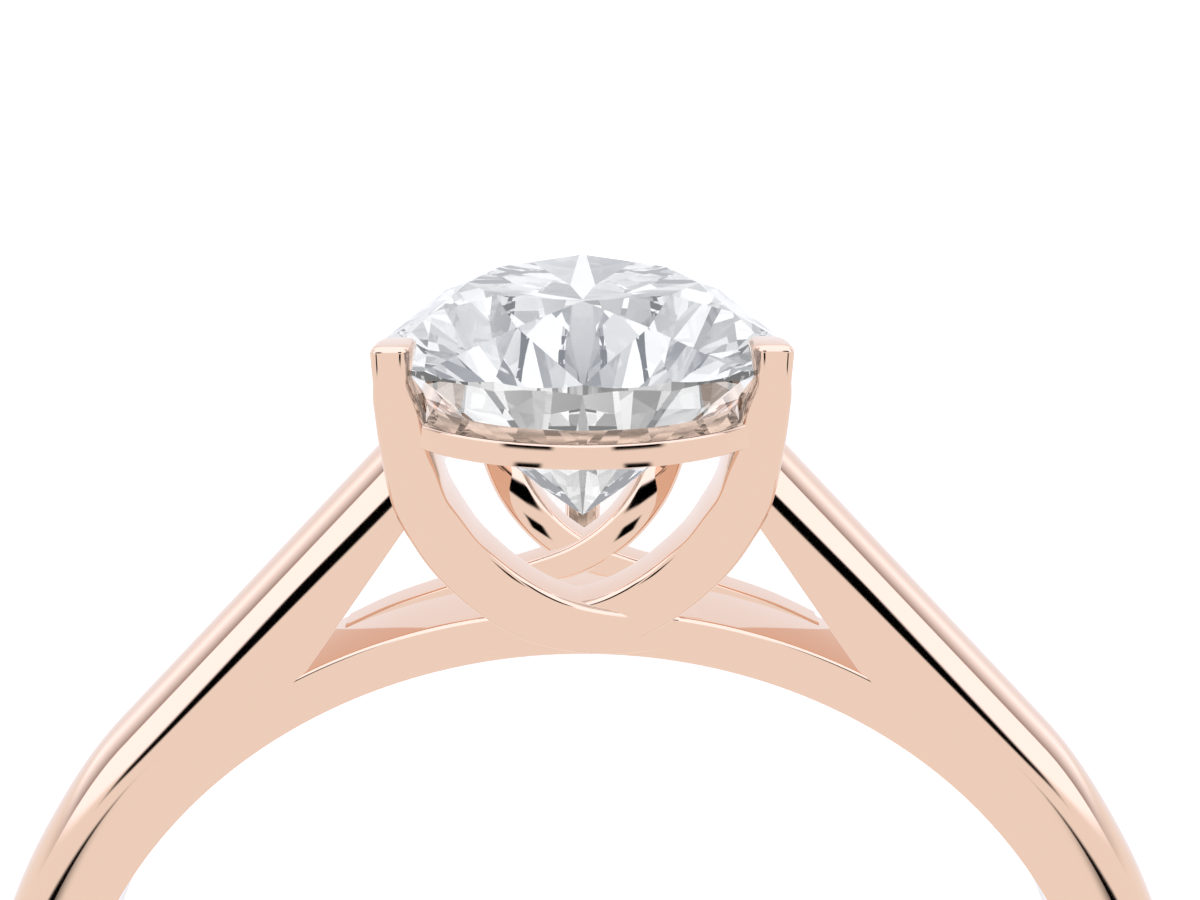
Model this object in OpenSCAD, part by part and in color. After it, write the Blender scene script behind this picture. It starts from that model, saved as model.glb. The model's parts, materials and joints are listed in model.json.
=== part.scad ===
/* [Finger] */
// Diameter of the finger hole
bore_d = 16.92; // [14:0.01:21]

/* [Band] */
// Width of the band along the finger
band_w = 1.94; // [1.6:0.02:3]
// Height of the flat side of the band above the finger hole
side_h = 0.95; // [0.7:0.05:1.3]
// Height of the rounded back of the band above its flat sides
crown_h = 0.63; // [0.3:0.01:0.9]
// Thickness of the bridge that closes the finger hole under the head
bridge_t = 0.71; // [0.5:0.01:0.9]

/* [Stone] */
// Width of the pear-shaped stone
stone_w = 5.7; // [5:0.05:6.3]
// Length of the stone from its round end to its point
stone_l = 8; // [7.4:0.05:8.8]
// Height of the girdle above the centre of the finger hole
girdle_z = 13.13; // [12.8:0.01:13.6]
// How far the culet lies in front of the middle of the band
stone_y = 1; // [0.7:0.05:1.3]

/* [Claws] */
// Height of the front claws above the girdle
claw_h = 0.42; // [0.3:0.01:0.6]
// Height of the back claws above the girdle
back_claw_h = 0.24; // [0.15:0.01:0.4]
// Depth of the claw arms along the finger
arm_d = 0.62; // [0.5:0.01:0.8]
// Clearance between the stone and the metal
seat_gap = 0.06; // [0.03:0.01:0.1]

/* [Hidden] */
$fn = 96;
rose = "#e8bfa8";

// Band section and the straight shoulders that leave it at a tangent
bore_r = bore_d / 2;
side_r = bore_r + side_h;
half_w = band_w / 2;
crown_steps = 16;
shoulder_a = 46.5;
shoulder_tip = [4.15, 8.17];
shoulder_end = [2.1, 11.13];
shoulder_top = 12.3;
shoulder_l = 9;
shoulder_depth = 4;
shoulder_sink = 1;

// Stone, measured from its girdle and its culet axis
stone_r = stone_w / 2;
point_y = stone_l - stone_r;
flank_r = (stone_r * stone_r + point_y * point_y) / stone_w;
flank_a = asin(point_y / flank_r);
girdle_t = 0.13;
crown_a = 34.1;
table_k = 0.566;
table_point_k = 0.628;
star_k = 0.765;
star_rise = 0.674;
lower_k = 0.23;
table_h = stone_r * (1 - table_k) * tan(crown_a);
pavilion_h = 2.41;
lower_z = pavilion_h * (1 - lower_k * cos(22.5));
culet_z = girdle_z - girdle_t / 2 - pavilion_h;

// Seat, an upright collar under the stone: share of the stone's outline and height of each edge
seat_in_k = 0.7;
seat_out_k = 0.947;
seat_in_z = 12.5;
seat_out_z = 12.4;
seat_low_z = 12.08;
seat_steps = 48;

// Claw arms as seen from the front: place across, height and width along each arm
claw_z = girdle_z + claw_h;
back_claw_z = girdle_z + back_claw_h;
front_arm = [
    [2.42, claw_z, 0.52], [2.51, 12.6, 0.57], [2.49, 11.9, 0.6], [2.4, 11.2, 0.62],
    [2.18, 10.65, 0.62], [1.78, 10.05, 0.62], [1.27, 9.5, 0.62], [0.62, 9.06, 0.62],
    [-0.1, 8.87, 0.6], [-0.9, 8.78, 0.54],
];
back_arm = [
    [1.54, back_claw_z, 0.5], [1.54, 12.6, 0.56], [1.48, 11.8, 0.6], [1.35, 11.1, 0.62],
    [1.13, 10.55, 0.62], [0.82, 10.12, 0.6], [0.42, 9.77, 0.58], [-0.1, 9.46, 0.56],
    [-0.75, 9.24, 0.5], [-1.5, 9.06, 0.42], [-2.2, 8.86, 0.36], [-3, 8.6, 0.3],
    [-3.7, 8.28, 0.26],
];
arm_steps = 3;
arm_edge = 0.12;
arm_rim = 0.1;
lean_z = 8.9;
lean_span = 4.3;
front_face = -1.04;
front_reach = -1.87;
back_face = 0.96;
back_reach = 2.2;
over = 0.1;

// Claw around the point of the stone: height, outermost place and half width of each level
point_claw = [
    [claw_z, 4.34, 0.68], [13.5, 4.43, 0.76], [13.35, 4.46, 0.8], [12.8, 4.3, 0.75],
    [12.3, 3.95, 0.6], [11.95, 3.35, 0.35],
];
point_claw_t = 0.56;
point_slope = 0.63;

// Stem of that claw, from the claw down to the crossing of the back arms: place along the finger,
// height and width
stem = [
    [3.7, 12.45, 0.6], [3.3, 11.7, 0.6], [2.75, 11.05, 0.6], [2.1, 10.4, 0.58],
    [1.5, 9.8, 0.56], [1, 9.25, 0.5],
];
stem_d = 0.56;

// Rest: the ring lies on the claw at the stone's point and on the lower edge of the band
rest_y = point_claw[2][1];
rest_z = point_claw[2][0];
rest_a = atan2(rest_y - half_w, rest_z + side_r);
foot_r = norm([half_w * cos(rest_a), crown_h * sin(rest_a)]);
rest_h = side_r * sin(rest_a) + foot_r;
low_reach = side_r * cos(rest_a) + norm([crown_h * cos(rest_a), half_w * sin(rest_a)]);
table_top = girdle_z + girdle_t / 2 + table_h;
table_end = point_y * table_point_k - stone_y;
head_reach = table_top * cos(rest_a) + table_end * sin(rest_a);
rest_shift = (low_reach - head_reach) / 2;

// Curves
function blend(a, b, c, d, t) =
    (2 * b + (c - a) * t + (2 * a - 5 * b + 4 * c - d) * t * t
    + (3 * b - a - 3 * c + d) * t * t * t) / 2;
function at(list, i) = list[min(max(i, 0), len(list) - 1)];
function smooth(list, n) = concat([
    for (i = [0 : len(list) - 2], k = [0 : n - 1])
        blend(at(list, i - 1), list[i], list[i + 1], at(list, i + 2), k / n)
], [list[len(list) - 1]]);
function unit(v) = v / norm(v);
function lean(z, face, reach) = face + reach * pow(max(z - lean_z, 0) / lean_span, 1.5);

// Outline of the stone around the culet axis: 0 is the middle of the round end, 180 the point
function flank(s) = [
    flank_r * cos(flank_a * s) - flank_r + stone_r,
    flank_r * sin(flank_a * s)
];
function pear_half(a) = a < 90 ? stone_r * [sin(a), -cos(a)] : flank((a - 90) / 90);
function pear(a) = a <= 180 ? pear_half(a) : [-pear_half(360 - a)[0], pear_half(360 - a)[1]];
function point_share(a) = max((a <= 180 ? a : 360 - a) - 90, 0) / 90;
function grown(a, k, grow) = pear(a) * k + unit(pear(a)) * grow;
function level(p, z) = [p[0], p[1] - stone_y, z];

// Closed skin over rings of points, with a flat cap at each end
function ring_faces(rings, n) = [
    for (i = [0 : rings - 2], j = [0 : n - 1], side = [0, 1])
        let (a = i * n + j, b = i * n + (j + 1) % n)
        side == 0 ? [a, b, b + n] : [a, b + n, a + n]
];
module skin(rings) {
    n = len(rings[0]);
    count = len(rings);
    polyhedron(
        points = [for (ring = rings) for (p = ring) p],
        faces = concat(
            ring_faces(count, n),
            [[for (j = [0 : n - 1]) n - 1 - j]],
            [[for (j = [0 : n - 1]) (count - 1) * n + j]]
        )
    );
}

// Section of a bar: a rectangle with round edges
function bar_section(w, d, r) = [
    for (q = [0 : 3], k = [0 : 2])
        let (a = q * 90 + k * 45, sx = q == 0 || q == 3 ? 1 : -1, sy = q < 2 ? 1 : -1)
        [sx * (w / 2 - r) + r * cos(a), sy * (d / 2 - r) + r * sin(a)]
];
function bar_along(path, i) = unit(place(at(path, i + 1)) - place(at(path, i - 1)));
function place(p) = [p[0], p[1], p[2]];
function bar_ring(path, i, depth, inset) =
    let (
        along = bar_along(path, i),
        out = [0, -1, 0],
        up = unit(out - (out * along) * along),
        across = cross(along, up)
    )
    [for (s = bar_section(path[i][3] - 2 * inset, depth - 2 * inset, arm_edge - inset / 2))
        place(path[i]) + across * s[0] + up * s[1]];

// Level top of a bar: its first ring pushed along the bar to one height
function level_ring(path, depth, inset, z) =
    let (along = bar_along(path, 0))
    [for (p = bar_ring(path, 0, depth, inset)) p + along * (z - p[2]) / along[2]];
module bar(path, depth) {
    top = path[0][2];
    skin(concat(
        [level_ring(path, depth, arm_rim, top), level_ring(path, depth, 0, top - arm_rim)],
        [for (i = [2 : len(path) - 1]) bar_ring(path, i, depth, 0)]
    ));
}
module arm(list, face, reach) {
    bar([
        for (p = smooth(list, arm_steps)) [p[0], lean(p[1], face, reach), p[1], p[2]]
    ], arm_d);
}

// Half section of the band: flat side, round back, flat inside
function crown_point(a) = [side_r + crown_h * sin(a), half_w * cos(a)];
module band_section(inner_r) {
    polygon(concat(
        [[inner_r, half_w], [inner_r, -half_w]],
        [for (k = [0 : crown_steps]) crown_point(180 - 180 * k / crown_steps)]
    ));
}

// Lower part of the band, from shoulder to shoulder
module band() {
    rotate([90, 0, 0])
        rotate([0, 0, 90 + shoulder_a])
        rotate_extrude(angle = 360 - 2 * shoulder_a)
        band_section(bore_r);
}

// Straight shoulder that rises from the band to the seat and leaves a three-cornered opening
module shoulder() {
    start = [sin(shoulder_a), cos(shoulder_a)];
    inside = bore_r - shoulder_sink;
    intersection() {
        rotate([0, shoulder_a - 90, 0])
            linear_extrude(shoulder_l)
            band_section(bore_r - shoulder_depth);
        rotate([90, 0, 0])
            linear_extrude(2 * band_w, center = true)
            polygon([
                start * inside, start * shoulder_top,
                [start[0] * shoulder_top, shoulder_top], [shoulder_end[0], shoulder_top],
                shoulder_end, shoulder_tip, unit(shoulder_tip) * inside,
            ]);
    }
}

// Thin hoop that closes the finger hole under the head
module bridge() {
    rotate([90, 0, 0])
        rotate([0, 0, 90 - shoulder_a])
        rotate_extrude(angle = 2 * shoulder_a)
        translate([bore_r, -half_w])
        square([bridge_t, band_w]);
}

// Crossed claw arms: the first of each pair runs over the second
module front_claws() {
    mirror([1, 0, 0])
        arm(front_arm, front_face + arm_d / 2 - over / 2, front_reach);
    arm(front_arm, front_face + arm_d / 2 + over / 2, front_reach);
}
module back_claws() {
    arm(back_arm, back_face - arm_d / 2 - over / 2, back_reach);
    mirror([1, 0, 0])
        arm(back_arm, back_face - arm_d / 2 + over / 2, back_reach);
}
module point_claw() {
    bar([for (p = smooth(stem, arm_steps)) [0, p[0], p[1], p[2]]], stem_d);
    skin([
        for (p = point_claw)
            let (y = p[1], w = p[2], side = y - w * point_slope, t = point_claw_t)
            [
                [w, side, p[0]], [0, y, p[0]], [-w, side, p[0]],
                [-w, side - t, p[0]], [0, y - t, p[0]], [w, side - t, p[0]],
            ]
    ]);
}

// Seat collar under the stone, one closed loop of four-cornered sections
module seat() {
    edges = [[seat_in_k, seat_in_z], [seat_out_k, seat_out_z],
        [seat_out_k, seat_low_z], [seat_in_k, seat_low_z]];
    n = len(edges);
    polyhedron(
        points = [
            for (i = [0 : seat_steps - 1], e = edges)
                level(pear(360 * i / seat_steps) * e[0], e[1])
        ],
        faces = [
            for (i = [0 : seat_steps - 1], j = [0 : n - 1], side = [0, 1])
                let (
                    next = (i + 1) % seat_steps,
                    a = i * n + j, b = i * n + (j + 1) % n,
                    c = next * n + (j + 1) % n, d = next * n + j
                )
                side == 0 ? [a, c, b] : [a, d, c]
        ]
    );
}

// Stone with flat facets: table, stars, kites, upper and lower girdle facets, pavilion kites
module cut_stone(grow) {
    mains = 8;
    turns = 32;
    main_a = 360 / mains;
    half_a = main_a / 2;
    top = girdle_z + girdle_t / 2;
    low = girdle_z - girdle_t / 2;
    table = [for (i = [0 : mains - 1]) let (
            a = i * main_a, k = table_k + (table_point_k - table_k) * point_share(a)
        ) level(grown(a, k, grow), top + table_h + grow)];
    stars = [for (i = [0 : mains - 1]) let (
            a = half_a + i * main_a, k = star_k + 0.03 * point_share(a)
        ) level(grown(a, k, grow), top + table_h * star_rise + grow)];
    upper = [for (i = [0 : turns - 1]) level(grown(i * 360 / turns, 1, grow), top + grow)];
    lower = [for (i = [0 : turns - 1]) level(grown(i * 360 / turns, 1, grow), low - grow)];
    belly = [for (i = [0 : mains - 1])
        level(grown(half_a + i * main_a, lower_k, grow), low - lower_z - grow)];
    culet = [[0, -stone_y, culet_z - 1.5 * grow]];
    s0 = mains;
    u0 = s0 + mains;
    l0 = u0 + turns;
    b0 = l0 + turns;
    c0 = b0 + mains;
    quarter = turns / mains;
    polyhedron(
        points = concat(table, stars, upper, lower, belly, culet),
        faces = concat(
            [[for (i = [0 : mains - 1]) mains - 1 - i]],
            [for (i = [0 : mains - 1], f = [0 : 6]) let (
                    j = (i + 1) % mains, h = (i + mains - 1) % mains,
                    m = u0 + i * quarter, e = u0 + j * quarter
                ) [
                    [i, j, s0 + i],
                    [i, s0 + i, m], [i, m, s0 + h],
                    [s0 + i, m + 1, m], [s0 + i, m + 2, m + 1],
                    [s0 + i, m + 3, m + 2], [s0 + i, e, m + 3],
                ][f]],
            [for (i = [0 : turns - 1], side = [0, 1]) let (j = (i + 1) % turns)
                side == 0 ? [u0 + i, u0 + j, l0 + j] : [u0 + i, l0 + j, l0 + i]],
            [for (i = [0 : mains - 1], f = [0 : 5]) let (
                    j = (i + 1) % mains, h = (i + mains - 1) % mains,
                    m = l0 + i * quarter, e = l0 + j * quarter
                ) [
                    [b0 + i, m, m + 1], [b0 + i, m + 1, m + 2],
                    [b0 + i, m + 2, m + 3], [b0 + i, m + 3, e],
                    [c0, m, b0 + i], [c0, b0 + h, m],
                ][f]]
        )
    );
}

// Turns the upright ring onto its side as it rests on a table
module lay_down() {
    translate([0, rest_shift, rest_h])
        rotate([rest_a - 90, 0, 0])
        children();
}

// All the soldered metal
module band_and_setting() {
    color(rose)
        lay_down()
        difference() {
            union() {
                band();
                bridge();
                shoulder();
                mirror([1, 0, 0])
                    shoulder();
                front_claws();
                back_claws();
                point_claw();
                seat();
            }
            rotate([90, 0, 0])
                cylinder(r = bore_r, h = 4 * band_w, center = true);
            cut_stone(seat_gap);
        }
}

module stone() {
    color("white")
        lay_down()
        cut_stone(0);
}

band_and_setting();
stone();
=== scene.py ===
import json
import math

import bmesh
import bpy
from mathutils import Matrix, Vector


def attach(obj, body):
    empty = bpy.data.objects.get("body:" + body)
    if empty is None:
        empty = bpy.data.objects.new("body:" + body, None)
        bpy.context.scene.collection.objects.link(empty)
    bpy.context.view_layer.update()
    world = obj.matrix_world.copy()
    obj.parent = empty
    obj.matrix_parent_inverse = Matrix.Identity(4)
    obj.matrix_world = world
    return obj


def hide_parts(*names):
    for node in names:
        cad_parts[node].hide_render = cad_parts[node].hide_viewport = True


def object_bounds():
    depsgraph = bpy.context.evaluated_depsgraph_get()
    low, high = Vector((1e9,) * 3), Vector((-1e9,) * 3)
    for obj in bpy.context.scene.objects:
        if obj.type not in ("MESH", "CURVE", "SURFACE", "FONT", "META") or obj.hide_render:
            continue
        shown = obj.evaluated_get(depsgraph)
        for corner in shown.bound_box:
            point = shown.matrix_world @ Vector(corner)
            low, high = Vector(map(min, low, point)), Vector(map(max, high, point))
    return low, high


bl_info = {
    "name": "Solitaire Ring",
    "version": (1, 0, 0),
    "blender": (4, 5, 0),
    "location": "3D View > Sidebar > Ring",
    "description": "Models a claw-set pear solitaire ring lying on its side, with its stage",
    "category": "Add Mesh",
}

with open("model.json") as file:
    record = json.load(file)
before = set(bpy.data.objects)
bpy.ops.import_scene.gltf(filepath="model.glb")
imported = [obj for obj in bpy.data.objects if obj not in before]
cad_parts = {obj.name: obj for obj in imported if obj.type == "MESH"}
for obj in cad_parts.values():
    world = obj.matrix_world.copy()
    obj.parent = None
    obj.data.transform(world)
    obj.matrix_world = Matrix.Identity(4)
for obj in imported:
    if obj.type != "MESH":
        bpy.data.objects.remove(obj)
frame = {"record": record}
cad_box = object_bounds()

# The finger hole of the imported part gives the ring's own axes: X across, Y along the finger, Z to
# the stone. Pieces are modelled there in millimetres and then laid into place.
MM = 0.001
BORE = next(m for m in frame["record"]["mounts"] if m["name"] == "finger_bore")
LEAN = math.asin(-BORE["axis"][1])
TURN = Matrix.Rotation(LEAN - math.pi / 2, 4, "X")
LAY = Matrix.Translation(Vector(BORE["pos_m"])) @ TURN @ Matrix.Scale(MM, 4)

# Steps of a bar's top rim, of a bar's corner, of any other quarter round, of a smooth curve between
# two of its points, and of the seat's outline
RIM_STEPS = 4
CORNER_STEPS = 6
ROUND_STEPS = 4
SPLINE_STEPS = 6
SEAT_STEPS = 120
# Faces that meet at a greater angle keep a crisp edge
SHARP_ANGLE = math.radians(40)

# The lengths below are in millimetres, and heights are above the finger hole's centre.

# Points this close are taken as one, and a cut this close to a point goes through it
CLOSE = 0.001
CUT_CLOSE = 1e-6

# The shoulders run up to this length and are cut off under the seat, this far from the middle and
# this high. The cuts leave alone what lies below the last height.
SHOULDER_LENGTH = 8.2
SHOULDER_INNER = 2.1
SHOULDER_TOP = 12.3
SHOULDER_FOOT = 9.5
# The underside of a shoulder rises gently at first and faster beyond this length
UNDERSIDE_TURN = 3.07
UNDERSIDE_RISE = 0.057
UNDERSIDE_STEEP = 0.154
# The flat side grows a little towards the shoulders, from this angle on
SIDE_FLARE = 0.025
FLARE_ANGLE = math.radians(60)
# The bridge is this much narrower than the band on each side and runs this far into the shoulders
BRIDGE_INSET = 0.002
BRIDGE_OVERLAP = math.radians(2)

# Front arms: place of their face, how far it leans out, and the heights between which it does
FRONT_FACE = -1.04
FRONT_REACH = -2.25
FRONT_LEAN = (8.6, 14.2)
# Back arms: place of their rear, how far they lean back at the girdle, the height where the lean
# starts and the height that it takes up to the girdle
BACK_REAR = 1.01
BACK_REACH = 2.2
BACK_LEAN_START = 9.5
BACK_LEAN_RUN = 3.7
# Heights between which the arms' corners grow soft, round rim of their tops, and the length below
# the rim that stays straight
SOFT_HEIGHTS = (11.2, 12.1)
ARM_RIM = 0.1
TOP_STRAIGHT = 0.3
# Corners of an arm's section: radius across as a share of its width, and radius into its depth.
# Crisp ones have the edge radius at this usual width. The front arms' outer rear is always round,
# and the others, inner rear, inner front and outer front, are soft beside the stone. The back arms
# have a round outer front.
USUAL_WIDTH = 0.6
FRONT_REAR_CORNER = (0.5, 0.34)
FRONT_SOFT_CORNERS = [(0.3, 0.2), (0.36, 0.26), (0.2, 0.12)]
BACK_FRONT_CORNER = (0.82, 0.22)

# Claw arms seen from the front: across, height, width, and how far the face sinks. A front claw
# draws in at the girdle and swells again towards the elbow.
FRONT_CLAW = [
    (-2.4, 13.55, 0.53, 0), (-2.44, 13.28, 0.46, 0), (-2.44, 13.12, 0.49, 0),
    (-2.43, 12.91, 0.56, 0), (-2.4, 12.61, 0.62, 0), (-2.36, 12.17, 0.68, 0),
    (-2.31, 11.7, 0.73, 0), (-2.23, 11.18, 0.77, 0), (-2.05, 10.68, 0.81, 0),
    (-1.82, 10.22, 0.83, 0), (-1.51, 9.81, 0.85, 0), (-1.16, 9.46, 0.85, 0),
    (-0.75, 9.17, 0.84, 0), (-0.3, 8.98, 0.79, 0.01),
]
FRONT_OVER = FRONT_CLAW + [
    (0.15, 8.88, 0.73, 0.02), (0.6, 8.83, 0.66, 0.05), (1.1, 8.82, 0.58, 0.1),
    (1.7, 8.76, 0.5, 0.17),
]
FRONT_UNDER = [(-x, z, w, sink) for x, z, w, sink in FRONT_CLAW] + [
    (-0.15, 8.9, 0.72, 0.04), (-0.6, 8.84, 0.62, 0.1), (-1.0, 8.82, 0.5, 0.17),
]
BACK_OVER = [
    (1.54, 13.37, 0.5, 0), (1.54, 12.7, 0.56, 0), (1.47, 11.9, 0.6, 0),
    (1.34, 11.2, 0.62, 0), (1.12, 10.64, 0.62, 0), (0.81, 10.18, 0.6, 0),
    (0.42, 9.79, 0.58, 0), (-0.1, 9.46, 0.56, 0), (-0.75, 9.24, 0.5, 0),
    (-1.5, 9.06, 0.42, 0), (-2.2, 8.86, 0.36, 0), (-3.0, 8.6, 0.3, 0),
    (-3.7, 8.28, 0.26, 0),
]
BACK_UNDER = [(-x, z, w, sink) for x, z, w, sink in BACK_OVER]

# Claw around the stone's point: height, outermost place, half width. Its wings have a thickness and
# fall back by a slope, and its upright edges are rounded.
POINT_CLAW = [
    (11.95, 3.35, 0.35), (12.3, 3.95, 0.6), (12.8, 4.3, 0.75), (13.35, 4.46, 0.8),
    (13.5, 4.43, 0.76), (13.55, 4.36, 0.7),
]
POINT_THICKNESS = 0.56
POINT_SLOPE = 0.63
POINT_EDGE = 0.09
# Stem of that claw: place along the finger, height, width. Its corners are round and its depth is a
# share of a back arm's.
POINT_STEM = [
    (3.7, 12.45, 0.6), (3.3, 11.7, 0.6), (2.75, 11.05, 0.6), (2.1, 10.4, 0.58),
    (1.5, 9.8, 0.56), (1.0, 9.25, 0.5),
]
STEM_CORNER = (0.15, 0.09)
STEM_RIM = 0.05
STEM_DEPTH = 0.9

# How much larger than the stone its bed in the claws is, all round
BED_GAP = 0.02

# Seat collar: share of the stone's outline and height of each edge, and the roundness of that edge
SEAT_EDGES = [
    (0.775, 12.47, 0.02), (0.947, 12.4, 0.03), (0.947, 12.08, 0.015), (0.74, 12.08, 0.05),
]

# Facets: how far up the crown the stars start, how far out from the culet the lower halves end,
# how much the table's share grows towards the stone's point, and the number of girdle facets
STAR_START = 0.674
LOWER_END = 0.2125
TABLE_SPREAD = 0.062
GIRDLE_FACETS = 96
# Size of the block that the stone is cut from
BLOCK = 16

# Light of the room, and its regions, each over the ones before it: the ranges of a direction's
# sideways, rearward and upward parts as from, to and softness, how it fades towards the rear, and
# its light. A light is a colour and a strength.
ROOM_LIGHT = ("#EDF3FF", 1.64)
WALL_FADE = {"From Min": 0.0, "From Max": 0.5, "To Min": 0.85, "To Max": 0.0}
REGIONS = [
    # White paper below the horizon
    ({"up": (-2, -0.03, 0.05)}, None, ("#FFFFFF", 1.0)),
    # White wall behind the ring
    ({"back": (0.6, 2, 0.15)}, None, ("#F6F8FF", 1.08)),
    # Black screens beside the camera, which polished metal shows as thin dark lines
    ({"side": (0.29, 0.72, 0.04), "back": (-2, -0.4, 0.1), "up": (-0.13, 0.16, 0.03)}, None,
     ("#000000", 0.0)),
    # Two more, low down, which show on the round outer sides of the back claw arms
    ({"side": (0.38, 0.6, 0.03), "back": (-2, -0.4, 0.1), "up": (-0.58, -0.37, 0.03)}, None,
     ("#000000", 0.0)),
    # Each side wall is dark from the middle back and brightens towards the rear, which shows on
    # the round back of the band as a brown line that fades towards its edge
    ({"side": (0.5, 2, 0.1), "back": (0, 2, 0.02), "up": (-0.05, 0.6, 0.1)}, WALL_FADE,
     ("#FFD8C6", 0.2)),
]
# Room that the stone shows: size of its patches, and how the noise becomes their strength
PATCHES = {"Scale": 2.3, "Detail": 1.0}
PATCH_STRENGTH = {"From Min": 0.35, "From Max": 0.62, "To Min": 0.15, "To Max": 1.1}
# White that the camera sees past the paper
BACKDROP = ("#FFFFFF", 1.0)
# Half width of the paper, in metres
PAPER_HALF = 0.6

# The photograph's camera: place, pitch, focal length and sideways centre in its own pixels
EYE = (0, -21.07, 16.9)
PITCH = math.radians(14.71)
PHOTO_WIDTH = 1200
PHOTO_FOCAL = 1447.7
PHOTO_CENTRE = 582.7
SENSOR_WIDTH = 36


def srgb(text):
    """Turns an sRGB hex colour into the linear colour that a socket or a property takes."""
    parts = [int(text[i:i + 2], 16) / 255 for i in (1, 3, 5)]
    linear = [c / 12.92 if c <= 0.04045 else ((c + 0.055) / 1.055) ** 2.4 for c in parts]
    return (*linear, 1.0)


class RingSizes(bpy.types.PropertyGroup):
    """Sizes of the band and its bridge"""

    bore: bpy.props.FloatProperty(
        name="Finger hole radius", description="Radius of the finger hole",
        default=BORE["dims"]["r_mm"] * MM, unit="LENGTH")
    width: bpy.props.FloatProperty(
        name="Band width", description="Width of the band along the finger",
        default=BORE["dims"]["length_mm"] * MM, unit="LENGTH")
    side: bpy.props.FloatProperty(
        name="Flat side", description="Height of the band's flat side above the finger hole",
        default=0.00087, unit="LENGTH")
    crown: bpy.props.FloatProperty(
        name="Round back", description="Height of the band's round back above its flat sides",
        default=0.00071, unit="LENGTH")
    flare: bpy.props.FloatProperty(
        name="Shoulder flare", description="How much further out the shoulders run",
        default=0.00007, unit="LENGTH")
    bridge: bpy.props.FloatProperty(
        name="Bridge thickness", description="Thickness of the hoop under the head",
        default=0.00071, unit="LENGTH")
    shoulder: bpy.props.FloatProperty(
        name="Shoulder angle",
        description="Angle from the head at which a shoulder leaves the band",
        default=math.radians(46.5), subtype="ANGLE")
    edge: bpy.props.FloatProperty(
        name="Edge radius", description="Radius of the polished edges of the finger hole",
        default=0.00006, unit="LENGTH")


class StoneSizes(bpy.types.PropertyGroup):
    """Sizes of the pear-shaped stone"""

    width: bpy.props.FloatProperty(
        name="Width", description="Width of the stone across its round end",
        default=0.0057, unit="LENGTH")
    length: bpy.props.FloatProperty(
        name="Length", description="Length of the stone from its round end to its point",
        default=0.008, unit="LENGTH")
    girdle: bpy.props.FloatProperty(
        name="Girdle", description="Thickness of the girdle", default=0.00013, unit="LENGTH")
    height: bpy.props.FloatProperty(
        name="Girdle height", description="Height of the girdle above the finger hole's centre",
        default=0.01313, unit="LENGTH")
    ahead: bpy.props.FloatProperty(
        name="Ahead", description="How far the culet lies in front of the middle of the band",
        default=0.001, unit="LENGTH")
    crown: bpy.props.FloatProperty(
        name="Crown angle", description="Angle of the crown's kite facets",
        default=math.radians(34.1), subtype="ANGLE")
    table: bpy.props.FloatProperty(
        name="Table", description="Width of the table as a share of the stone's", default=0.566)
    pavilion: bpy.props.FloatProperty(
        name="Pavilion depth", description="Depth from the girdle to the culet",
        default=0.00241, unit="LENGTH")


class ClawSizes(bpy.types.PropertyGroup):
    """Sizes of the claw arms"""

    front_depth: bpy.props.FloatProperty(
        name="Front arm depth", description="Depth of a front arm along the finger",
        default=0.0008, unit="LENGTH")
    depth: bpy.props.FloatProperty(
        name="Back arm depth", description="Depth of a back arm along the finger",
        default=0.00062, unit="LENGTH")
    edge: bpy.props.FloatProperty(
        name="Arm edge", description="Radius of an arm's edges", default=0.00007, unit="LENGTH")
    over: bpy.props.FloatProperty(
        name="Crossing step", description="How far one arm stands over the other where they cross",
        default=0.0001, unit="LENGTH")


class RingColours(bpy.types.PropertyGroup):
    """Colours of the ring and its stage"""

    gold: bpy.props.FloatVectorProperty(
        name="Rose gold", description="Colour that the polished gold reflects", subtype="COLOR",
        size=3, default=srgb("#EDCDB9")[:3], min=0, max=1)
    stone: bpy.props.FloatVectorProperty(
        name="Stone", description="Colour of the clear stone", subtype="COLOR",
        size=3, default=srgb("#FFFFFF")[:3], min=0, max=1)
    floor: bpy.props.FloatVectorProperty(
        name="Floor", description="Colour of the plain floor", subtype="COLOR",
        size=3, default=srgb("#FBFBFB")[:3], min=0, max=1)


def in_mm(value):
    """Turns a size property in metres into millimetres."""
    return value / MM


def add_node(tree, kind, settings=None, links=None):
    """Adds one node, sets its fields and sockets, and links sockets to it. A node as a link's
    source stands for its first output."""
    node = tree.nodes.new(kind)
    for key, value in (settings or {}).items():
        if isinstance(key, str) and hasattr(node, key):
            setattr(node, key, value)
        else:
            node.inputs[key].default_value = value
    for key, source in (links or {}).items():
        if isinstance(source, bpy.types.Node):
            source = source.outputs[0]
        tree.links.new(source, node.inputs[key])
    return node


def blank_material(name):
    """A new material and its empty node tree."""
    material = bpy.data.materials.new(name)
    material.use_nodes = True
    material.node_tree.nodes.clear()
    return material, material.node_tree


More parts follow.
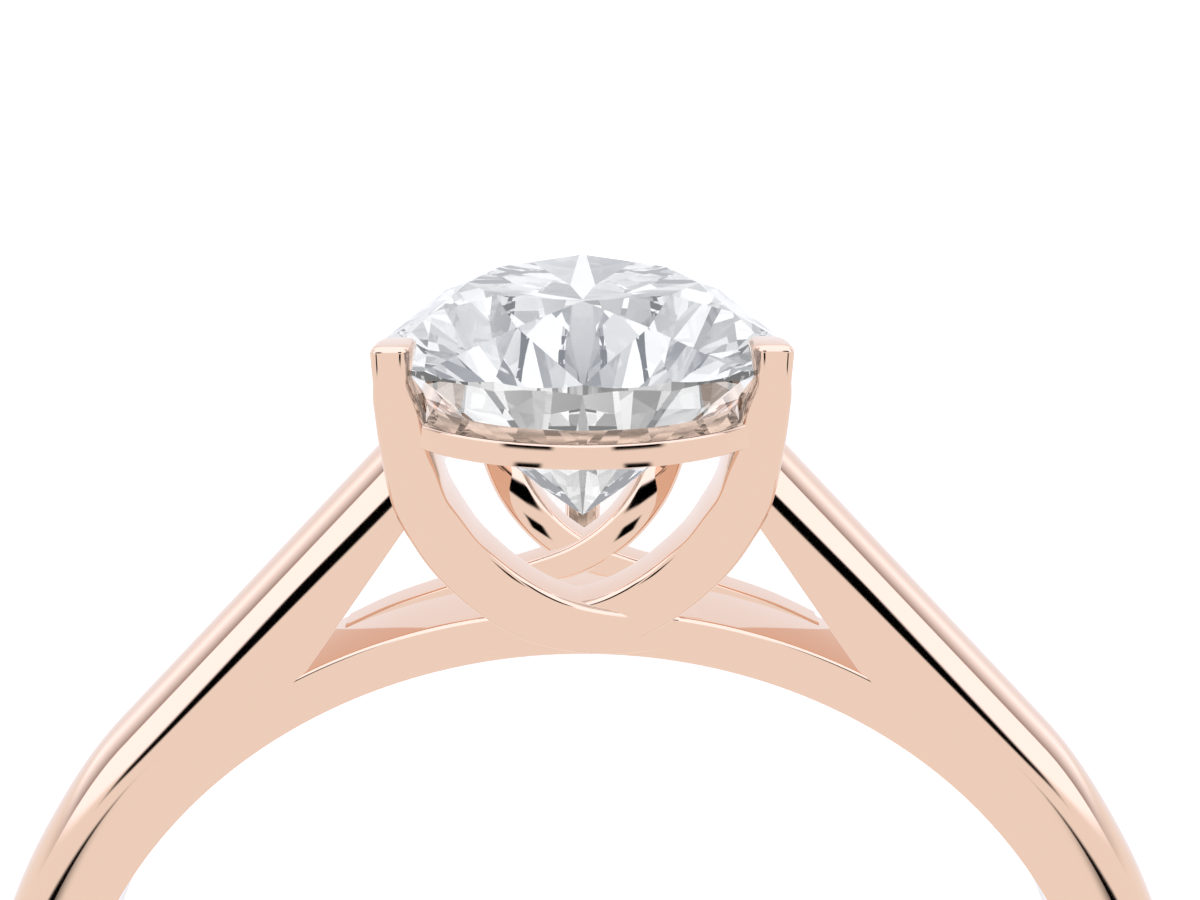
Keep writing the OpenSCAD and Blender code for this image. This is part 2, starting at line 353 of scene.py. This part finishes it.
def polished_rose_gold():
    """14 carat rose gold, lapped and buffed: a warm mirror whose last buffing marks only
    soften the highlights and let a long reflection waver a little."""
    name = "polished_rose_gold"
    if name in bpy.data.materials:
        return bpy.data.materials[name]
    gold = bpy.context.scene.ring_colours.gold
    material, tree = blank_material(name)
    place = add_node(tree, "ShaderNodeTexCoord")
    # Buffing marks 0.05 mm apart, and slow waves of about 1.5 mm left by hand polishing
    marks = add_node(
        tree, "ShaderNodeTexNoise", {"Scale": 1 / (0.05 * MM), "Detail": 2.0},
        {"Vector": place.outputs["Object"]})
    waves = add_node(
        tree, "ShaderNodeTexNoise", {"Scale": 1 / (1.5 * MM), "Detail": 1.0},
        {"Vector": place.outputs["Object"]})
    rough = add_node(
        tree, "ShaderNodeMapRange", {"To Min": 0.035, "To Max": 0.075},
        {"Value": marks.outputs["Fac"]})
    bump = add_node(
        tree, "ShaderNodeBump", {"Strength": 0.12, "Distance": 0.004 * MM},
        {"Height": waves.outputs["Fac"]})
    shader = add_node(
        tree, "ShaderNodeBsdfPrincipled",
        {"Base Color": (*gold, 1.0), "Metallic": 1.0},
        {"Roughness": rough.outputs["Result"], "Normal": bump.outputs["Normal"]})
    add_node(tree, "ShaderNodeOutputMaterial", {}, {"Surface": shader.outputs["BSDF"]})
    return material


def cut_diamond():
    """Clear diamond, faceted and polished: no colour of its own, and so strong a bend of light
    that it shows bright and black patches of the room in turn."""
    material, tree = blank_material("cut_diamond")
    stone = bpy.context.scene.ring_colours.stone
    shader = add_node(
        tree, "ShaderNodeBsdfPrincipled",
        {"Base Color": (*stone, 1.0), "Roughness": 0.0, "IOR": 2.42,
         "Transmission Weight": 1.0})
    add_node(tree, "ShaderNodeOutputMaterial", {}, {"Surface": shader.outputs["BSDF"]})
    return material


def add_object(name, bm):
    """Puts a modelled shape into the scene as an object."""
    mesh = bpy.data.meshes.new(name)
    bm.to_mesh(mesh)
    bm.free()
    added = bpy.data.objects.new(name, mesh)
    bpy.context.scene.collection.objects.link(added)
    return added


def finish_piece(name, bm, material, node, smooth=True):
    """Lays a modelled piece into place, hangs it under the root and hides the part that it stands
    for.
    """
    bmesh.ops.transform(bm, matrix=LAY, verts=bm.verts)
    for face in bm.faces:
        face.smooth = smooth
    piece = add_object(name, bm)
    piece.data.materials.append(material)
    if smooth:
        piece.data.set_sharp_from_angle(angle=SHARP_ANGLE)
        weigh = piece.modifiers.new("even_normals", "WEIGHTED_NORMAL")
        weigh.keep_sharp = True
    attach(piece, "root")
    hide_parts(node)
    return piece


def finish_gold(name, bm, in_mirrors=False):
    """Finishes a piece of the gold setting. What shines through the stone doesn't show it, and
    mirrors show it only where told."""
    piece = finish_piece(name, bm, polished_rose_gold(), "band_and_setting")
    piece.visible_transmission = False
    piece.visible_glossy = in_mirrors
    return piece


def loop_edges(bm, verts):
    """Joins a list of vertices into a closed loop of edges."""
    return [bm.edges.new((a, b)) for a, b in zip(verts, verts[1:] + verts[:1])]


def extrude_rings(bm, rings):
    """Extrudes a closed loop from ring to ring of points, closes both ends and turns the faces
    outwards."""
    verts = [bm.verts.new(point) for point in rings[0]]
    edges = loop_edges(bm, verts)
    first = edges
    for ring in rings[1:]:
        made = bmesh.ops.extrude_edge_only(bm, edges=edges)["geom"]
        fresh = {g for g in made if isinstance(g, bmesh.types.BMVert)}
        verts = [
            next(e.other_vert(v) for e in v.link_edges if e.other_vert(v) in fresh)
            for v in verts
        ]
        for vert, point in zip(verts, ring):
            vert.co = point
        edges = [
            g for g in made
            if isinstance(g, bmesh.types.BMEdge) and all(v in fresh for v in g.verts)
        ]
    bmesh.ops.contextual_create(bm, geom=first)
    bmesh.ops.contextual_create(bm, geom=edges)
    bmesh.ops.recalc_face_normals(bm, faces=bm.faces)


def corner(centre, radius, start):
    """Points of a quarter round around a centre, from a start angle in degrees."""
    return [
        (centre[0] + radius * math.cos(math.radians(start + 90 * k / ROUND_STEPS)),
         centre[1] + radius * math.sin(math.radians(start + 90 * k / ROUND_STEPS)))
        for k in range(ROUND_STEPS + 1)
    ]


def spline(points):
    """Runs a smooth curve through control points of any length."""
    curve = []
    last = len(points) - 1
    for i in range(last):
        a = points[max(i - 1, 0)]
        b = points[i]
        c = points[i + 1]
        d = points[min(i + 2, last)]
        for k in range(SPLINE_STEPS):
            t = k / SPLINE_STEPS
            curve.append(tuple(
                0.5 * (2 * q + (r - p) * t + (2 * p - 5 * q + 4 * r - s) * t * t
                       + (3 * q - p - 3 * r + s) * t ** 3)
                for p, q, r, s in zip(a, b, c, d)))
    curve.append(tuple(points[-1]))
    return curve


def smoothstep(low, high, value):
    """Rises smoothly from 0 to 1 while a value goes from low to high."""
    t = min(max((value - low) / (high - low), 0), 1)
    return t * t * (3 - 2 * t)


def lean(z, face, reach):
    """Place along the finger of an arm's face at a height: upright below, leaning out above. A
    front arm has a negative reach and leaves the upright sooner than a back one."""
    if reach < 0:
        return face + reach * smoothstep(*FRONT_LEAN, z)
    return face + reach * (max(z - BACK_LEAN_START, 0) / BACK_LEAN_RUN) ** 2


def band_station(sizes, s):
    """Where a station of the right half of the band lies. Negative s runs round the hoop, positive
    s up the shoulder; both are lengths in millimetres."""
    bore = in_mm(sizes.bore)
    side = bore + in_mm(sizes.side)
    crown = side + in_mm(sizes.crown)
    turn = sizes.shoulder
    flare = in_mm(sizes.flare)
    if s <= 0:
        angle = turn - s / crown
        share = smoothstep(FLARE_ANGLE, turn, angle)
        out = Vector((math.sin(angle), 0, math.cos(angle)))
        foot = Vector((0, 0, 0))
        inner = bore
    else:
        out = Vector((math.sin(turn), 0, math.cos(turn)))
        foot = Vector((-math.cos(turn), 0, math.sin(turn))) * s
        share = 1
        inner = bore + UNDERSIDE_RISE * min(s, UNDERSIDE_TURN)
        inner += UNDERSIDE_STEEP * max(s - UNDERSIDE_TURN, 0)
    return foot, out, inner, side + SIDE_FLARE * share, crown + flare * share


def band_section(sizes):
    """Outline of the band's section as (part, outwards, along the finger): the soft edges of the
    finger hole, the ends of the flat sides, and the round back with outwards from 0 to 1."""
    half = in_mm(sizes.width) / 2
    edge = in_mm(sizes.edge)
    arc_steps = 24
    section = [("in", x, y) for x, y in corner((edge, -half + edge), edge, 180)][::-1]
    section = [("side", 0.0, -half)] + section
    section += [("in", x, y) for x, y in corner((edge, half - edge), edge, 90)][::-1]
    section += [("side", 0.0, half)]
    section += [
        ("crown", math.sin(math.pi * k / arc_steps), half * math.cos(math.pi * k / arc_steps))
        for k in range(1, arc_steps)
    ]
    return section


def band_piece(sizes):
    """Hoop and shoulders in one sweep: flat sides, round back, soft inner edges."""
    around = math.pi - sizes.shoulder
    crown = in_mm(sizes.bore + sizes.side + sizes.crown)
    hoop_steps = 96
    shoulder_steps = 24
    right = [-around * crown * (1 - k / hoop_steps) for k in range(hoop_steps + 1)]
    right += [SHOULDER_LENGTH * (k + 1) / shoulder_steps for k in range(shoulder_steps)]
    stations = [(s, -1) for s in reversed(right[1:])] + [(s, 1) for s in right]
    section = band_section(sizes)
    bm = bmesh.new()
    rings = []
    for s, hand in stations:
        foot, out, inner, side, top = band_station(sizes, s)
        ring = []
        for part, x, y in section:
            if part == "in":
                reach = inner + x
            elif part == "side":
                reach = side
            else:
                reach = side + (top - side) * x
            point = foot + out * reach
            ring.append(Vector((hand * point.x, y, point.z)))
        rings.append(ring)
    extrude_rings(bm, rings)
    for hand in (1, -1):
        trim(bm, hand, (hand * SHOULDER_INNER, 0, 0), (-hand, 0, 0))
        trim(bm, hand, (0, 0, SHOULDER_TOP), (0, 0, 1))
    return bm


def trim(bm, hand, point, normal):
    """Cuts one shoulder's end off at a plane and closes the cut."""
    verts = [v for v in bm.verts if v.co.x * hand > 0 and v.co.z > SHOULDER_FOOT]
    own = set(verts)
    edges = [e for e in bm.edges if all(v in own for v in e.verts)]
    faces = [f for f in bm.faces if all(v in own for v in f.verts)]
    cut = bmesh.ops.bisect_plane(
        bm, geom=verts + edges + faces, dist=CUT_CLOSE, plane_co=point, plane_no=normal,
        clear_outer=True)
    rim = [g for g in cut["geom_cut"] if isinstance(g, bmesh.types.BMEdge)]
    bmesh.ops.edgeloop_fill(bm, edges=rim)
    bmesh.ops.recalc_face_normals(bm, faces=bm.faces)


def bridge_piece(sizes):
    """Thin hoop under the head, spun around the finger hole."""
    half = in_mm(sizes.width) / 2 - BRIDGE_INSET
    edge = in_mm(sizes.edge)
    low = in_mm(sizes.bore)
    high = low + in_mm(sizes.bridge)
    bm = bmesh.new()
    outline = corner((low + edge, -half + edge), edge, 180)
    outline += corner((high - edge, -half + edge), edge, 270)
    outline += corner((high - edge, half - edge), edge, 0)
    outline += corner((low + edge, half - edge), edge, 90)
    spread = sizes.shoulder + BRIDGE_OVERLAP
    spin_steps = 72
    verts = [bm.verts.new((0, y, x)) for x, y in outline]
    edges = loop_edges(bm, verts)
    bmesh.ops.rotate(
        bm, verts=verts, cent=(0, 0, 0), matrix=Matrix.Rotation(-spread, 3, "Y"))
    made = bmesh.ops.spin(
        bm, geom=verts + edges, cent=(0, 0, 0), axis=(0, 1, 0), angle=2 * spread,
        steps=spin_steps, use_duplicate=False)
    bmesh.ops.contextual_create(bm, geom=edges)
    last = [g for g in made["geom_last"] if isinstance(g, bmesh.types.BMEdge)]
    bmesh.ops.contextual_create(bm, geom=last)
    bmesh.ops.recalc_face_normals(bm, faces=bm.faces)
    return bm


def bar_rings(rows, rim):
    """Poses along a bar, X across its face, Y into its depth and Z along it, each with its row
    and how far it is drawn in. The first ones are level, so that the bar ends in a flat top with
    a round rim."""
    rings = []
    last = len(rows) - 1
    for i, (centre, _, _) in enumerate(rows):
        along = (rows[min(i + 1, last)][0] - rows[max(i - 1, 0)][0]).normalized()
        back = Vector((0, 1, 0))
        back = (back - back.dot(along) * along).normalized()
        across = back.cross(along)
        if i == 0:
            top = centre.z
            across -= along * (across.z / along.z)
            back -= along * (back.z / along.z)
            for k in range(RIM_STEPS + 1):
                turn = math.pi / 2 * k / RIM_STEPS
                drop = rim * (1 - math.cos(turn))
                place = Matrix.Translation(centre - along * (drop / along.z))
                pose = place @ as_axes(across, back, along)
                rings.append((pose, rows[0], rim * (1 - math.sin(turn))))
        elif centre.z < top - rim - TOP_STRAIGHT:
            pose = Matrix.Translation(centre) @ as_axes(across, back, along)
            rings.append((pose, rows[i], 0))
    return rings


def as_axes(x, y, z):
    """Matrix that turns the axes to three directions."""
    return Matrix((x, y, z)).transposed().to_4x4()


def bar_outline(width, depth, radii, hand):
    """Section of a bar: corners outer rear, inner rear, inner front, outer front. Each has a
    radius across, as a share of the width, and a radius into the depth."""
    outline = []
    corners = ((0, 1, 1), (90, -1, 1), (180, -1, -1), (270, 1, -1))
    for (start, sx, sy), (share, ry) in zip(corners, radii):
        rx = share * width
        cx = sx * (width / 2 - rx)
        cy = sy * (depth / 2 - ry)
        for k in range(CORNER_STEPS + 1):
            a = math.radians(start + 90 * k / CORNER_STEPS)
            outline.append(Vector((hand * (cx + rx * math.cos(a)), cy + ry * math.sin(a), 0)))
    return outline


def bar_piece(rows, depth, radii, soft_radii, rim, hand=1):
    """A bar along rows of centre, width and softness: its corners pass from the first radii to the
    second as softness goes from 0 to 1."""
    bm = bmesh.new()
    rings = []
    for pose, (_, width, soft), inset in bar_rings(rows, rim):
        mixed = [
            tuple(a + (b - a) * soft for a, b in zip(first, second))
            for first, second in zip(radii, soft_radii)
        ]
        outline = bar_outline(width - 2 * inset, depth - 2 * inset, mixed, hand)
        rings.append([pose @ point for point in outline])
    extrude_rings(bm, rings)
    return bm


def arm_piece(depth, controls, face, reach, radii, soft_radii):
    """One claw arm, a bar with a flat face, run down from its claw. Its corners are softer beside
    the stone."""
    rows = [
        (Vector((x, lean(z, face, reach) + sink + depth / 2, z)), w, smoothstep(*SOFT_HEIGHTS, z))
        for x, z, w, sink in spline(controls)
    ]
    hand = 1 if controls[0][0] < 0 else -1
    return bar_piece(rows, depth, radii, soft_radii, ARM_RIM, hand)


def stem_piece(depth):
    """Arm of the claw at the stone's point, down to where the back arms cross."""
    rows = [(Vector((0, y, z)), w, 0) for y, z, w in spline(POINT_STEM)]
    radii = [STEM_CORNER] * 4
    return bar_piece(rows, depth, radii, radii, STEM_RIM)


def pear(sizes, turn):
    """A point of the stone's outline and the way it faces, around the culet axis. Turn 0 is the
    middle of the round end and 180 the point."""
    radius = in_mm(sizes.width) / 2
    reach = in_mm(sizes.length) - radius
    flank = (radius * radius + reach * reach) / (2 * radius)
    sweep_angle = math.asin(reach / flank)
    half = turn % 360
    hand = 1
    if half > 180:
        half = 360 - half
        hand = -1
    if half <= 90:
        a = math.radians(half)
        point = Vector((radius * math.sin(a), -radius * math.cos(a)))
        normal = Vector((math.sin(a), -math.cos(a)))
    else:
        a = sweep_angle * (half - 90) / 90
        point = Vector((flank * math.cos(a) - flank + radius, flank * math.sin(a)))
        normal = Vector((math.cos(a), math.sin(a)))
    if half == 180:
        normal = Vector((0, 1))
    return Vector((hand * point.x, point.y)), Vector((hand * normal.x, normal.y))


def meet(p, n, q, m):
    """Where two lines of the plan meet, each given by a point and its normal."""
    det = n.x * m.y - n.y * m.x
    a = p.dot(n)
    b = q.dot(m)
    return Vector(((a * m.y - b * n.y) / det, (n.x * b - m.x * a) / det))


def facet_planes(sizes, grow):
    """The planes of a pear brilliant as (point, outward normal), around its girdle's middle."""
    half_girdle = in_mm(sizes.girdle) / 2
    radius = in_mm(sizes.width) / 2
    height = radius * (1 - sizes.table) * math.tan(sizes.crown)
    depth = in_mm(sizes.pavilion)
    fold = 8
    mains = [360 / fold * i for i in range(fold)]
    girdle = [pear(sizes, a) for a in mains]
    middle = [pear(sizes, a + 180 / fold)[0] for a in mains]

    def table_share(a):
        side = min(a, 360 - a)
        return sizes.table + TABLE_SPREAD * max(side - 90, 0) / 90

    table = [g[0] * table_share(a) for g, a in zip(girdle, mains)]
    planes = [(Vector((0, 0, half_girdle + height + grow)), Vector((0, 0, 1)))]
    crown_runs = [(g - t).dot(n) for (g, n), t in zip(girdle, table)]
    pavilion_runs = [g.dot(n) for g, n in girdle]

    def add(points, up):
        a, b, c = points
        normal = (b - a).cross(c - a).normalized()
        if normal.z * up < 0:
            normal = -normal
        planes.append((a + normal * grow, normal))

    for i in range(fold):
        j = (i + 1) % fold
        g, n = girdle[i]
        h, m = girdle[j]
        normal = Vector((n.x * height, n.y * height, crown_runs[i])).normalized()
        planes.append((Vector((*g, half_girdle)) + normal * grow, normal))
        normal = Vector((n.x * depth, n.y * depth, -pavilion_runs[i])).normalized()
        planes.append((Vector((*g, -half_girdle)) + normal * grow, normal))
        star = meet(
            g - n * crown_runs[i] * STAR_START, n, h - m * crown_runs[j] * STAR_START, m)
        star = Vector((*star, half_girdle + height * STAR_START))
        belly = meet(n * pavilion_runs[i] * LOWER_END, n, m * pavilion_runs[j] * LOWER_END, m)
        belly = Vector((*belly, -half_girdle - depth * (1 - LOWER_END)))
        corners = [Vector((*t, half_girdle + height)) for t in (table[i], table[j])]
        add((*corners, star), 1)
        for end in (g, h):
            add((star, Vector((*end, half_girdle)), Vector((*middle[i], half_girdle))), 1)
            add((belly, Vector((*end, -half_girdle)), Vector((*middle[i], -half_girdle))), -1)
    for k in range(GIRDLE_FACETS):
        p, n = pear(sizes, (k + 0.5) * 360 / GIRDLE_FACETS)
        planes.append((Vector((*(p + n * grow), 0)), Vector((*n, 0))))
    return planes


def stone_piece(sizes, grow=0.0):
    """Cuts the stone out of a block, one facet plane after another."""
    bm = bmesh.new()
    bmesh.ops.create_cube(bm, size=BLOCK)
    for point, normal in facet_planes(sizes, grow):
        cut = bmesh.ops.bisect_plane(
            bm, geom=bm.verts[:] + bm.edges[:] + bm.faces[:], dist=CUT_CLOSE, plane_co=point,
            plane_no=normal, clear_outer=True)
        rim = [g for g in cut["geom_cut"] if isinstance(g, bmesh.types.BMEdge)]
        if len(rim) > 2:
            bmesh.ops.edgeloop_fill(bm, edges=rim)
    bmesh.ops.remove_doubles(bm, verts=bm.verts, dist=CLOSE)
    bmesh.ops.dissolve_degenerate(bm, dist=CLOSE, edges=bm.edges)
    bmesh.ops.recalc_face_normals(bm, faces=bm.faces)
    shift = Vector((0, -in_mm(sizes.ahead), in_mm(sizes.height)))
    bmesh.ops.translate(bm, verts=bm.verts, vec=shift)
    return bm


def seat_piece(sizes):
    """Seat collar under the girdle: four loops of the stone's outline, bridged and softened."""
    level = 1e-4
    bm = bmesh.new()
    loops = []
    for share, height, _ in SEAT_EDGES:
        verts = []
        for k in range(SEAT_STEPS):
            point = pear(sizes, k * 360 / SEAT_STEPS)[0] * share
            verts.append(bm.verts.new((point.x, point.y - in_mm(sizes.ahead), height)))
        loops.append(loop_edges(bm, verts))
    for a, b in zip(loops, loops[1:] + loops[:1]):
        bmesh.ops.bridge_loops(bm, edges=a + b)
    for share, height, radius in SEAT_EDGES:
        rim = [
            e for e in bm.edges
            if all(abs(v.co.z - height) < level for v in e.verts)
            and all(near_outline(sizes, v.co, share) for v in e.verts)
        ]
        bmesh.ops.bevel(
            bm, geom=rim, offset=radius, segments=4, profile=0.5, affect="EDGES", material=-1)
    bmesh.ops.recalc_face_normals(bm, faces=bm.faces)
    return bm


def near_outline(sizes, point, share):
    """Whether a point of the seat lies on a share of the stone's outline."""
    plan = Vector((point.x, point.y + in_mm(sizes.ahead)))
    turns = [k * 360 / SEAT_STEPS for k in range(SEAT_STEPS)]
    return min((plan - pear(sizes, a)[0] * share).length for a in turns) < CLOSE


def point_claw_piece():
    """Angled claw that hooks over the stone's point."""
    least_rise = 0.02
    bm = bmesh.new()
    rings = []
    for z, y, w in POINT_CLAW:
        side = y - w * POINT_SLOPE
        outer = [(w, side), (0, y), (-w, side)]
        inner = [(px, py - POINT_THICKNESS) for px, py in reversed(outer)]
        rings.append([Vector((px, py, z)) for px, py in outer + inner])
    extrude_rings(bm, rings)
    upright = [e for e in bm.edges if abs(e.verts[0].co.z - e.verts[1].co.z) > least_rise]
    bmesh.ops.bevel(
        bm, geom=upright, offset=POINT_EDGE, segments=3, profile=0.5, affect="EDGES",
        material=-1)
    return bm


def notch(piece):
    """Cuts the stone's bed into a claw, a little larger than the stone."""
    name = "stone_bed"
    bed = bpy.data.objects.get(name)
    if bed is None:
        bm = stone_piece(bpy.context.scene.stone_sizes, BED_GAP)
        bmesh.ops.transform(bm, matrix=LAY, verts=bm.verts)
        bed = add_object(name, bm)
    cutter = piece.modifiers.new("bed", "BOOLEAN")
    cutter.operation = "DIFFERENCE"
    cutter.solver = "EXACT"
    cutter.object = bed
    with bpy.context.temp_override(object=piece, active_object=piece):
        bpy.ops.object.modifier_move_to_index(modifier="bed", index=0)
        bpy.ops.object.modifier_apply(modifier="bed")
    piece.data.set_sharp_from_angle(angle=SHARP_ANGLE)


class RING_OT_band(bpy.types.Operator):
    """Model the hoop with its shoulders, and the bridge under the head"""

    bl_idname = "ring.band"
    bl_label = "Band and bridge"

    def execute(self, context):
        sizes = context.scene.ring_sizes
        finish_gold("band", band_piece(sizes), in_mirrors=True)
        finish_gold("bridge", bridge_piece(sizes))
        return {"FINISHED"}


class RING_OT_claws(bpy.types.Operator):
    """Model the crossed claw arms and the claw at the stone's point"""

    bl_idname = "ring.claws"
    bl_label = "Claws"

    def execute(self, context):
        sizes = context.scene.claw_sizes
        over = in_mm(sizes.over) / 2
        front_depth = in_mm(sizes.front_depth)
        depth = in_mm(sizes.depth)
        edge = in_mm(sizes.edge)
        back_face = BACK_REAR - depth
        crisp = (edge / USUAL_WIDTH, edge)
        low = [FRONT_REAR_CORNER] + [crisp] * 3
        high = [FRONT_REAR_CORNER] + FRONT_SOFT_CORNERS
        back = [crisp] * 3 + [BACK_FRONT_CORNER]

        def front_arm(controls, step):
            return arm_piece(
                front_depth, controls, FRONT_FACE + step, FRONT_REACH, low, high)

        def back_arm(controls, step):
            return arm_piece(depth, controls, back_face + step, BACK_REACH, back, back)

        pieces = {
            "front_claw_left": front_arm(FRONT_OVER, -over),
            "front_claw_right": front_arm(FRONT_UNDER, over),
            "back_claw_right": back_arm(BACK_OVER, -over),
            "back_claw_left": back_arm(BACK_UNDER, over),
            "point_claw": point_claw_piece(),
            "point_claw_stem": stem_piece(STEM_DEPTH * depth),
        }
        for name, bm in pieces.items():
            notch(finish_gold(name, bm))
        bpy.data.objects.remove(bpy.data.objects["stone_bed"])
        return {"FINISHED"}


class RING_OT_seat(bpy.types.Operator):
    """Model the seat ring under the stone"""

    bl_idname = "ring.seat"
    bl_label = "Seat"

    def execute(self, context):
        finish_gold("seat_ring", seat_piece(context.scene.stone_sizes))
        return {"FINISHED"}


class RING_OT_stone(bpy.types.Operator):
    """Cut the pear-shaped stone, facet by facet"""

    bl_idname = "ring.stone"
    bl_label = "Stone"

    def execute(self, context):
        finish_piece(
            "cut_stone", stone_piece(context.scene.stone_sizes), cut_diamond(), "stone",
            smooth=False)
        return {"FINISHED"}


def region(tree, parts, ranges, share=None):
    """How much of a direction lies in every range of its parts, times a share that is given."""
    for part, (low, high, soft) in ranges.items():
        for end, before in ((low, 0.0), (high, 1.0)):
            step = add_node(
                tree, "ShaderNodeMapRange",
                {"interpolation_type": "SMOOTHSTEP", "From Min": end - soft,
                 "From Max": end + soft, "To Min": before, "To Max": 1 - before},
                {"Value": parts[part]})
            share = step if share is None else add_node(
                tree, "ShaderNodeMath", {"operation": "MULTIPLY"}, {0: share, 1: step})
    return share


def studio_world():
    """A white studio around the upright ring, with its regions laid over one another. The stone
    shows a dimmer, uneven room, as its facets do in a real one, and the camera plain white."""
    world = bpy.data.worlds.new("white_studio")
    bpy.context.scene.world = world
    world.use_nodes = True
    tree = world.node_tree
    tree.nodes.clear()
    way = add_node(tree, "ShaderNodeTexCoord").outputs["Generated"]
    side, back, up = [
        add_node(
            tree, "ShaderNodeVectorMath",
            {"operation": "DOT_PRODUCT", 1: TURN.to_3x3() @ Vector(axis)}, {0: way},
        ).outputs["Value"]
        for axis in ((1, 0, 0), (0, 1, 0), (0, 0, 1))
    ]
    either = add_node(tree, "ShaderNodeMath", {"operation": "ABSOLUTE"}, {0: side})
    parts = {"side": either, "back": back, "up": up}
    room, white = [
        add_node(tree, "ShaderNodeBackground", {"Color": srgb(colour), "Strength": strength})
        for colour, strength in (ROOM_LIGHT, BACKDROP)
    ]
    for ranges, fade, (colour, strength) in REGIONS:
        share = None
        if fade is not None:
            share = add_node(tree, "ShaderNodeMapRange", fade, {"Value": back})
        share = region(tree, parts, ranges, share)
        light = add_node(
            tree, "ShaderNodeBackground", {"Color": srgb(colour), "Strength": strength})
        room = add_node(tree, "ShaderNodeMixShader", {}, {0: share, 1: room, 2: light})
    patches = add_node(tree, "ShaderNodeTexNoise", PATCHES, {"Vector": way})
    grey = add_node(
        tree, "ShaderNodeMapRange", {"interpolation_type": "SMOOTHSTEP", **PATCH_STRENGTH},
        {"Value": patches.outputs["Fac"]})
    uneven = add_node(
        tree, "ShaderNodeBackground", {"Color": srgb("#FFFFFF")}, {"Strength": grey})
    ray = add_node(tree, "ShaderNodeLightPath")
    inside = add_node(
        tree, "ShaderNodeMath", {"operation": "GREATER_THAN", 1: 0.5},
        {0: ray.outputs["Transmission Depth"]})
    room = add_node(tree, "ShaderNodeMixShader", {}, {0: inside, 1: room, 2: uneven})
    shown = add_node(
        tree, "ShaderNodeMixShader", {}, {0: ray.outputs["Is Camera Ray"], 1: room, 2: white})
    add_node(tree, "ShaderNodeOutputWorld", {}, {"Surface": shown})


def plain_floor():
    """Plain white sweep: matt paper that stays nearly white in the ring's own soft shadow."""
    material, tree = blank_material("white_paper")
    colour = (*bpy.context.scene.ring_colours.floor, 1.0)
    shader = add_node(
        tree, "ShaderNodeBsdfPrincipled",
        {"Base Color": colour, "Roughness": 0.9, "Specular IOR Level": 0.0,
         "Emission Color": colour, "Emission Strength": 0.35})
    add_node(tree, "ShaderNodeOutputMaterial", {}, {"Surface": shader.outputs["BSDF"]})
    return material


class RING_OT_stage(bpy.types.Operator):
    """Lay the floor, light the room and place the camera"""

    bl_idname = "ring.stage"
    bl_label = "Stage"

    def execute(self, context):
        bm = bmesh.new()
        bmesh.ops.create_grid(bm, x_segments=1, y_segments=1, size=PAPER_HALF)
        bmesh.ops.translate(bm, verts=bm.verts, vec=(0, 0, cad_box[0][2]))
        floor = add_object("floor", bm)
        floor.data.materials.append(plain_floor())
        # Mirrors and the stone look past the paper into the room
        floor.visible_transmission = False
        floor.visible_glossy = False
        data = bpy.data.cameras.new("photo_camera")
        data.sensor_width = SENSOR_WIDTH
        data.lens = SENSOR_WIDTH * PHOTO_FOCAL / PHOTO_WIDTH
        data.shift_x = (PHOTO_WIDTH / 2 - PHOTO_CENTRE) / PHOTO_WIDTH
        data.clip_start = 0.001
        data.clip_end = 10
        camera = bpy.data.objects.new("photo_camera", data)
        # The photograph's view in the ring's own axes
        turn = TURN.to_3x3()
        ahead = turn @ Vector((0, math.cos(PITCH), -math.sin(PITCH)))
        up = turn @ Vector((0, math.sin(PITCH), math.cos(PITCH)))
        place = Matrix.Translation(LAY @ Vector(EYE))
        camera.matrix_world = place @ as_axes(ahead.cross(up), up, -ahead)
        context.scene.collection.objects.link(camera)
        context.scene.camera = camera
        studio_world()
        context.scene.view_settings.view_transform = "Standard"
        context.scene.cycles.max_bounces = 24
        context.scene.cycles.transmission_bounces = 24
        context.scene.cycles.glossy_bounces = 8
        return {"FINISHED"}


class RING_PT_panel(bpy.types.Panel):
    """Lists the ring's pieces in the sidebar"""

    bl_idname = "RING_PT_panel"
    bl_label = "Solitaire ring"
    bl_space_type = "VIEW_3D"
    bl_region_type = "UI"
    bl_category = "Ring"

    def draw(self, context):
        for group in GROUPS:
            sizes = getattr(context.scene, group)
            box = self.layout.box()
            for name in sizes.bl_rna.properties.keys():
                if name not in {"rna_type", "name"}:
                    box.prop(sizes, name)
        for operator in OPERATORS:
            self.layout.operator(operator.bl_idname)


GROUPS = {
    "ring_sizes": RingSizes,
    "stone_sizes": StoneSizes,
    "claw_sizes": ClawSizes,
    "ring_colours": RingColours,
}
OPERATORS = (RING_OT_band, RING_OT_claws, RING_OT_seat, RING_OT_stone, RING_OT_stage)


def register():
    """Registers the sizes, the operators and the panel."""
    for name, group in GROUPS.items():
        bpy.utils.register_class(group)
        setattr(bpy.types.Scene, name, bpy.props.PointerProperty(type=group))
    for item in (*OPERATORS, RING_PT_panel):
        bpy.utils.register_class(item)


def unregister():
    """Takes away what register added."""
    for item in (RING_PT_panel, *reversed(OPERATORS)):
        bpy.utils.unregister_class(item)
    for name, group in GROUPS.items():
        delattr(bpy.types.Scene, name)
        bpy.utils.unregister_class(group)


def main():
    """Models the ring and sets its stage."""
    register()
    bpy.ops.ring.band()
    bpy.ops.ring.claws()
    bpy.ops.ring.seat()
    bpy.ops.ring.stone()
    bpy.ops.ring.stage()


if __name__ == "__main__":
    main()
